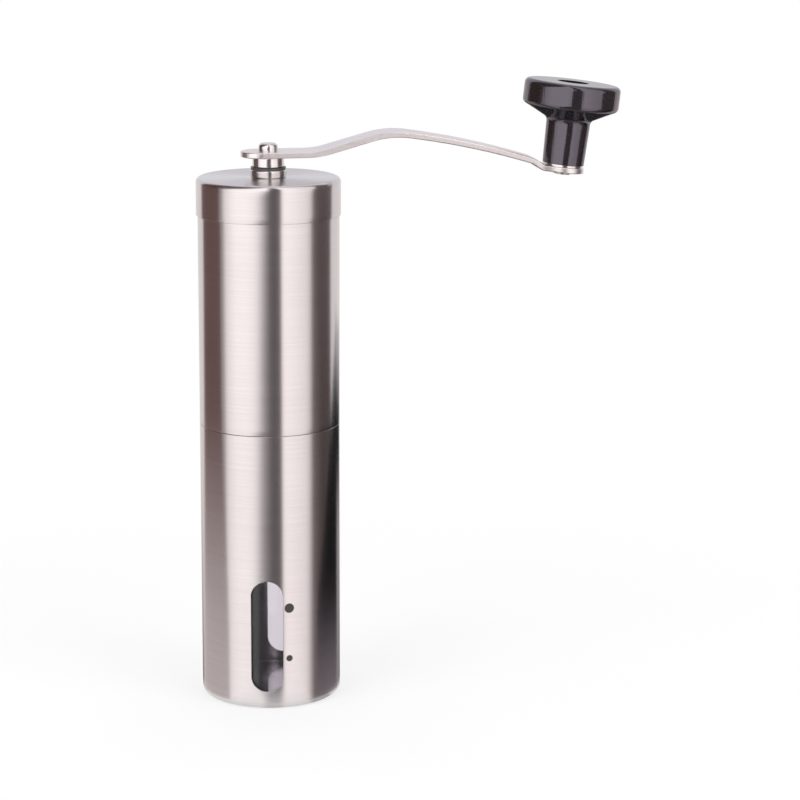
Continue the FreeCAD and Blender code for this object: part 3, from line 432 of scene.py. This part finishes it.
WASHER_R = 5.6
WASHER_BORE = 3.05
WASHER_FOOT = 115.0
WASHER_TOP = 115.6
GREASE = 0.02

thrust_washer = turned("thrust_washer_ring", eased([
    (WASHER_BORE, WASHER_FOOT + GREASE, 0.1),
    (WASHER_R, WASHER_FOOT + GREASE, 0.1),
    (WASHER_R, WASHER_TOP, 0.1),
    (WASHER_BORE, WASHER_TOP, 0.1),
], steps=3), segments=96)
thrust_washer.data.materials.append(bright_steel.material)
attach(thrust_washer, "shaft")
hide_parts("thrust_washer")


# Spring and clip: a coil of drawn spring wire that presses the cone down on its dial, and a
# punched clip snapped into the shaft's groove. Both are tempered to a straw grey.

spring_steel = Finish("spring_steel", Metallic=1.0)
temper = spring_steel.place.noise((420, 420, 900), 3.0)
spring_steel.vary(
    Base_Color=temper.step(0.35, 0.7).blend((0.42, 0.4, 0.38, 1), (0.55, 0.5, 0.44, 1)),
    Roughness=temper * 0.2 + 0.2,
)
dress(spring_steel, "burr_spring", "shaft_clip")


# Adjuster nut: a bush turned from brass bar and pressed into the dial. It runs on the foot of
# the shaft, and lets the cone down as the dial is turned.

brass = Finish("turned_brass", Metallic=1.0)
tarnish = brass.place.noise((700, 700, 2400), 3.0)
brass.vary(
    Base_Color=tarnish.step(0.3, 0.75).blend((0.72, 0.5, 0.2, 1), (0.5, 0.33, 0.13, 1)),
    Roughness=tarnish * 0.25 + 0.15,
)
dress(brass, "adjuster_nut")


# Lid cap: a thin drawn stainless cap with a rounded shoulder, brushed round its skirt and finer
# on its top, pressed over a moulded insert.

LID_R = 25.0
LID_WALL = 0.4
LID_FOOT = 171.4
LID_TOP = 184.4
LID_HOLE_R = 5.45

lid_cap = turned("lid_shell", eased([
    (LID_R, LID_FOOT, 0.15),
    (LID_R, LID_TOP, 1.6),
    (LID_HOLE_R, LID_TOP, 0),
    (LID_HOLE_R, LID_TOP - LID_WALL, 0),
    (LID_R - LID_WALL, LID_TOP - LID_WALL, 1.2),
    (LID_R - LID_WALL, LID_FOOT, 0.15),
]))
lid_cap.data.materials.append(brushed_steel("lid_steel").material)
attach(lid_cap, "lid")
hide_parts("lid_cap")


# Crank arm: a flat steel bar, blanked to a round hub and pad, bent twice and joggled down to the
# knob. It is satin finished along its length, and riveted over the drive socket.

satin_steel = Finish("satin_steel", Metallic=1.0)
drawn = satin_steel.place.noise((60, 4200, 4200), 3.0)
sheared = satin_steel.place.noise((3600, 260, 260), 2.0)
patch = satin_steel.place.noise((90, 90, 90), 2.0)
worn = drawn * 0.3 + sheared * 0.4 + patch * 0.3
satin_steel.vary(
    Base_Color=worn.step(0.3, 0.7).blend((0.9, 0.85, 0.835, 1), (1.0, 0.975, 0.965, 1)),
    Roughness=drawn * 0.12 + 0.28,
)
satin_steel.bump(sheared, 0.00001)
dress(satin_steel, "crank_arm")


# Knob: moulded in black phenolic and polished, with a broad rim and a stem that turns on the
# axle. Its sides are faintly uneven from the mould and its top is smooth. A screw holds it on.

SMOOTH_FROM = (27.9, 28.6)

knob_axis = next(joint for joint in frame["joints"] if joint["name"] == "knob_spin")
knob_way = Vector(knob_axis["axis"])
knob_foot = Vector(knob_axis["pos_m"]).dot(knob_way)
phenolic = Finish("black_phenolic", IOR=2.1, Specular_Tint=(0.94, 0.85, 1.0, 1))
dust = phenolic.place.noise((1500, 1500, 1500), 2.0)
sunk = phenolic.place.noise((1400, 1400, 8), 2.0)
x, y, z = phenolic.place.axes()
along = x * knob_way.x + y * knob_way.y + z * knob_way.z - knob_foot
side = 1 - along.step(*(height / 1000 for height in SMOOTH_FROM))
phenolic.vary(
    Base_Color=dust.step(0.4, 0.8).blend((0.010, 0.009, 0.010, 1), (0.018, 0.016, 0.018, 1)),
    Roughness=dust * 0.08 + 0.06,
)
phenolic.bump((sunk - 0.5) * side + 0.5, 0.00004)
dress(phenolic, "knob")


# Knob screw: a blackened pan-head screw, sunk in the knob's top and driven into the axle. Its
# head has a pressed cross recess, two like bars cut across each other.

AXLE_TOP = 25.7
SCREW_R = 1.5
SCREW_REACH = 6.5
HEAD_R = 4.2
HEAD_RISE = 2.2
RECESS = {"Bar length": 4.6, "Bar width": 1.0, "Bar depth": 1.3, "Bar top": HEAD_RISE}

dark_steel = Finish("blackened_steel", Metallic=1.0)
black = dark_steel.place.noise((900, 900, 900), 2.0)
dark_steel.vary(
    Base_Color=black.step(0.4, 0.8).blend((0.10, 0.10, 0.10, 1), (0.2, 0.19, 0.18, 1)),
    Roughness=black * 0.2 + 0.25,
)

cross_recess = bpy.data.node_groups.new("cross_recess", "GeometryNodeTree")
cross_recess.interface.new_socket("Head", in_out="INPUT", socket_type="NodeSocketGeometry")
sizes = [
    cross_recess.interface.new_socket(name, in_out="INPUT", socket_type="NodeSocketFloat") for name in RECESS
]
cross_recess.interface.new_socket("Head", in_out="OUTPUT", socket_type="NodeSocketGeometry")
tree = Shade(cross_recess)
given = tree.node("NodeGroupInput").output.node.outputs
length, width, depth, top = (Shade(cross_recess, given[name]) for name in RECESS)
bar_size = tree.node("ShaderNodeCombineXYZ", {}, {0: length, 1: width, 2: depth * 2})
bar = tree.node("GeometryNodeMeshCube", {}, {"Size": bar_size})
centre = tree.node("ShaderNodeCombineXYZ", {}, {2: top})
crossing = tree.node("GeometryNodeMeshLine", {}, {"Count": 2, "Start Location": centre, "Offset": (0, 0, 0)})
quarter = tree.node("ShaderNodeCombineXYZ", {}, {2: tree.node("GeometryNodeInputIndex") * (math.pi / 2)})
bars = tree.node("GeometryNodeInstanceOnPoints", {},
                 {"Points": crossing, "Instance": bar, "Rotation": quarter})
pressed = tree.node("GeometryNodeMeshBoolean", {"operation": "DIFFERENCE"},
                    {"Mesh 1": Shade(cross_recess, given["Head"]), "Mesh 2": bars})
pressed = tree.node("GeometryNodeRealizeInstances", {}, {0: pressed})
pressed = tree.node("GeometryNodeSetMaterial", {}, {"Geometry": pressed, "Material": dark_steel.material})
tree.node("NodeGroupOutput", {}, {0: pressed})

knob_screw = turned("knob_screw_head", eased([
    (0, -SCREW_REACH, 0),
    (SCREW_R, -SCREW_REACH, 0.4),
    (SCREW_R, 0, 0),
    (HEAD_R, 0, 0.15),
    (HEAD_R, HEAD_RISE, 1.3),
    (0, HEAD_RISE, 0),
]), segments=64)
press = knob_screw.modifiers.new("cross_recess", "NODES")
press.node_group = cross_recess
for socket, size in zip(sizes, RECESS.values()):
    press[socket.identifier] = size / 1000
plain_mesh(knob_screw)
knob_screw.data.set_sharp_from_angle(angle=math.radians(35))
lean = Vector((0, 0, 1)).rotation_difference(knob_way).to_matrix().to_4x4()
seat = Matrix.Translation(knob_axis["pos_m"]) @ lean @ Matrix.Translation((0, 0, AXLE_TOP / 1000))
knob_screw.data.transform(seat)
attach(knob_screw, "crank")
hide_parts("knob_screw")


# Studio: a pale sweep under the grinder, a soft box on each side of the camera with dark gaps
# between them, a graded card and a black flag close by for the steel to mirror, and the camera
# of the photograph.

CAMERA_PLACE = (-0.1259, -0.9290, 0.31274)
CAMERA_HEADING = math.radians(79.49)
CAMERA_PITCH = math.radians(12.46)
CAMERA_ROLL = 0.0042
SENSOR = 36
FRAME_PIXELS = 800
FOCAL_PIXELS = 2735.25

camera_data = bpy.data.cameras.new("camera")
camera_data.sensor_width = SENSOR
camera_data.lens = SENSOR * FOCAL_PIXELS / FRAME_PIXELS
camera = bpy.data.objects.new("camera", camera_data)
bpy.context.scene.collection.objects.link(camera)
level = Vector((math.cos(CAMERA_HEADING), math.sin(CAMERA_HEADING), 0))
forward = level * math.cos(CAMERA_PITCH) - Vector((0, 0, 1)) * math.sin(CAMERA_PITCH)
right = forward.cross(Vector((0, 0, 1))).normalized()
up = right.cross(forward)
aim = Matrix((right, up, -forward)).transposed() @ Matrix.Rotation(CAMERA_ROLL, 3, "Z")
camera.matrix_world = Matrix.Translation(CAMERA_PLACE) @ aim.to_4x4()
bpy.context.scene.camera = camera

world = bpy.data.worlds.new("studio")
bpy.context.scene.world = world
world.use_nodes = True
world.node_tree.nodes.clear()
sky = Shade(world.node_tree)
east, north, rise = sky.node("ShaderNodeTexCoord", give="Generated").axes()
front = Vector(CAMERA_PLACE[:2]).normalized()
toward_camera = east * front.x + north * front.y
to_right = north * front.x - east * front.y
bearing = to_right.maths("ARCTAN2", to_right, toward_camera)


def between(low, high, soft, way=bearing):
    """1 where the bearing from the camera is between two angles in degrees, with soft edges."""
    low, high, soft = (math.radians(angle) for angle in (low, high, soft))
    return way.step(low - soft, low + soft) * (1 - way.step(high - soft, high + soft))


def ray_kinds(shade):
    """Which ray asks: one from the camera, one through clear plastic, or one off a mirror."""
    rays = shade.node("ShaderNodeLightPath").output.node.outputs
    kinds = ("Is Camera Ray", "Is Transmission Ray", "Is Glossy Ray")
    seen, through, glossy = (Shade(shade.tree, rays[kind]) for kind in kinds)
    return seen, through, glossy * (1 - through)


WHITE = (1, 1, 1, 1)
FILL = (0.5, 0.49, 0.49, 1)
BACKDROP = ((0.80, 0.75, 0.75, 1), (0.74, 0.73, 0.78, 1))
LEFT_GAP = ((0.105, 0.058, 0.048, 1), (0.66, 0.58, 0.58, 1))
RIGHT_GAP = ((0.14, 0.108, 0.108, 1), (0.005, 0.005, 0.005, 1))
MIDDLE_GAP = (0.125, 0.108, 0.112, 1)
LEFT_LIGHT = ((1.36, 1.29, 1.3, 1), (1.06, 0.98, 0.98, 1))
LEFT_END = (1.0, 0.94, 0.94, 1)
RIGHT_LIGHT = ((1.34, 1.26, 1.26, 1), (1.06, 0.97, 0.97, 1))
RIGHT_END = (0.98, 0.91, 0.91, 1)
BELOW = (0.3, 0.28, 0.28, 1)
BEHIND = (0.04, 0.036, 0.04, 1)

steep = 1 - rise.step(-0.315, -0.215)
sloping = 1 - rise.step(-0.34, -0.12)
right_foot = (1 - rise.step(-0.27, -0.22)) * bearing.step(1.45, 1.75)
backdrop = rise.step(-0.05, 0.1).blend(*BACKDROP)
left_gap = steep.blend(*LEFT_GAP)
right_gap = right_foot.blend(*RIGHT_GAP)
left_light = bearing.step(-1.35, -0.9).blend(LEFT_END, sloping.blend(*LEFT_LIGHT))
right_light = bearing.step(0.35, 1.3).blend(sloping.blend(*RIGHT_LIGHT), RIGHT_END)
left_gap_mask = between(-131, 0, 5, bearing + steep * 0.5) * between(-180, -83, 4)
left_mask = between(-79, 0, 6) * between(-90, -12, 4, bearing - (rise + 0.15))
right_mask = between(20, 120, 3) * between(-180, 70, 3, bearing - (rise + 0.23) * 0.4)
behind_mask = (1 - between(-156, 156, 6)) * (1 - rise.step(-0.32, -0.23))
surround = left_gap_mask.blend(backdrop, left_gap)
surround = between(71, 120, 4).blend(surround, right_gap)
surround = between(-83, 71, 2).blend(surround, MIDDLE_GAP)
surround = left_mask.blend(surround, left_light)
surround = right_mask.blend(surround, right_light)
surround = rise.step(-0.95, -0.75).blend(BELOW, surround)
surround = behind_mask.blend(surround, BEHIND)
seen, through, mirrored = ray_kinds(sky)
beyond = toward_camera.step(-0.1, 0.1).blend(WHITE, surround)
plain = seen.blend(through.blend(FILL, beyond), WHITE)
glow = sky.node("ShaderNodeBackground", {}, {"Color": mirrored.blend(plain, surround), "Strength": 1.0})
sky.node("ShaderNodeOutputWorld", {}, {"Surface": glow})

FLOOR_PAINT = (0.86, 0.85, 0.85, 1)
# Painted shade on the floor, seen only in mirrors, in two bands round from the camera.
FLOOR_PAINTED_SHADE = (0.1, 0.09, 0.09, 1)

floor_form = bmesh.new()
bmesh.ops.create_grid(floor_form, x_segments=1, y_segments=1, size=4.0)
floor = meshed("floor", floor_form)
floor_material = bpy.data.materials.new("pale_floor")
floor_material.use_nodes = True
floor_material.node_tree.nodes.clear()
ground = Shade(floor_material.node_tree)
seen, through, mirrored = ray_kinds(ground)
seen = seen.maths("MAXIMUM", through, seen)
matt = ground.node("ShaderNodeBsdfDiffuse", {}, {"Color": FLOOR_PAINT})
lit = ground.node("ShaderNodeEmission", {}, {"Color": WHITE, "Strength": 1.0})
painted_shade = ground.node("ShaderNodeEmission", {}, {"Color": FLOOR_PAINTED_SHADE, "Strength": 1.0})
clear = ground.node("ShaderNodeBsdfTransparent")
far_x, far_y, _ = ground.node("ShaderNodeTexCoord", give="Object").axes()
reach = far_x.maths("SQRT", far_x * far_x + far_y * far_y)
away = reach.step(0.05, 0.35)
ahead_of = far_x * front.x + far_y * front.y
right_of = far_y * front.x - far_x * front.y
round_floor = right_of.maths("ARCTAN2", right_of, ahead_of)
# Two bands of the floor round from the camera are painted dark for mirrored rays only: painted shade that
# the cup's foot mirrors as dark bands.
painted_dark_bands = between(-6, 10, 4, round_floor) * 0.3 + between(37, 64, 4, round_floor) * 0.45
ahead = (ahead_of / reach).step(0.7, 0.95)
far = reach.step(0.0248 + ahead * 0.006, 0.031 + ahead * 0.024)
white = ground.node("ShaderNodeMixShader", {}, {0: seen * (0.7 + away * 0.3), 1: matt, 2: lit})
near_light = ground.node("ShaderNodeMixShader", {}, {0: mirrored * 0.4, 1: white, 2: lit})
near_light = ground.node("ShaderNodeMixShader", {}, {0: mirrored * painted_dark_bands, 1: near_light, 2: painted_shade})
whole = ground.node("ShaderNodeMixShader", {}, {0: mirrored * far, 1: near_light, 2: clear})
ground.node("ShaderNodeOutputMaterial", {}, {"Surface": whole})
floor.data.materials.append(floor_material)

CARD_REACH = 0.085
CARD_FOOT = -0.04


def card(name, bearings, tops):
    """A curved card beside the grinder, as its finish and its coordinates: how far round it is from
    the camera and how high up. Only what mirrors sees it."""
    form = bmesh.new()
    edges = []
    for part in range(13):
        turn, top = (first + (last - first) * part / 12 for first, last in (bearings, tops))
        place = Matrix.Rotation(math.radians(turn), 2) @ front * CARD_REACH
        edges.append([form.verts.new((*place, height)) for height in (CARD_FOOT, top)])
    for one, other in zip(edges, edges[1:]):
        form.faces.new((one[0], other[0], other[1], one[1]))
    piece = meshed(name, form)
    finish = Finish(name, Base_Color=(0, 0, 0, 1), Specular_IOR_Level=0.0, Emission_Strength=1.0)
    piece.data.materials.append(finish.material)
    piece.visible_camera = False
    piece.visible_diffuse = False
    piece.visible_shadow = False
    piece.visible_transmission = False
    x, y, up = finish.place.axes()
    across = y * front.x - x * front.y
    return finish, across.maths("ARCTAN2", across, x * front.x + y * front.y), up


FELT = (0.008, 0.008, 0.009, 1)
HEM = (0.02, 0.02, 0.021, 1)
HEM_FOOT = (0.31, 0.285, 0.31, 1)
FELT_TOP = (0.5, 0.48, 0.48, 1)
FELT_FOOT = (0.2, 0.17, 0.19, 1)
PAPER = ((0.56, 0.5, 0.5, 1), (0.15, 0.092, 0.088, 1))

felt, _, height = card("black_flag", (72, 128), (0.02, 0.132))
faded = height.step(0.085, 0.13).blend(FELT, FELT_TOP)
felt.vary(Emission_Color=height.step(-0.03, 0.025).blend(FELT_FOOT, faded))

hem, round_card, height = card("flag_hem", (128, 150), (0.12, 0.12))
faded = height.step(0.08, 0.12).blend(HEM, FELT_TOP)
hem.vary(
    Emission_Color=height.step(0.035, 0.075).blend(HEM_FOOT, faded),
    Alpha=between(100, 145, 4, round_card),
)

paper, round_card, height = card("brown_card", (-130, -55), (0.185, 0.185))
near_edge = between(-180, -77, 4, round_card - (1 - height.step(0, 0.1)) * 0.22)
paper.vary(
    Emission_Color=height.step(-0.02, 0.1).blend(*PAPER),
    Alpha=between(-117, 0, 4, round_card - (height - 0.15)) * near_edge,
)


def soft_box(name, bearing_deg, distance, height, size, watts):
    """A square soft light aimed at the middle of the grinder."""
    data = bpy.data.lights.new(name, "AREA")
    data.size = size
    data.energy = watts
    box = bpy.data.objects.new(name, data)
    bpy.context.scene.collection.objects.link(box)
    turn = Matrix.Rotation(math.radians(bearing_deg), 2)
    place = (turn @ front) * distance
    box.location = (place.x, place.y, height)
    aim = Vector((0, 0, 0.1)) - box.location
    box.rotation_euler = aim.to_track_quat("-Z", "Y").to_euler()
    box.visible_glossy = False


soft_box("left_box", -46, 1.2, 0.9, 0.9, 9)
soft_box("right_box", 48, 1.2, 0.9, 0.9, 8)
soft_box("top_box", 180, 0.3, 1.5, 1.0, 8)
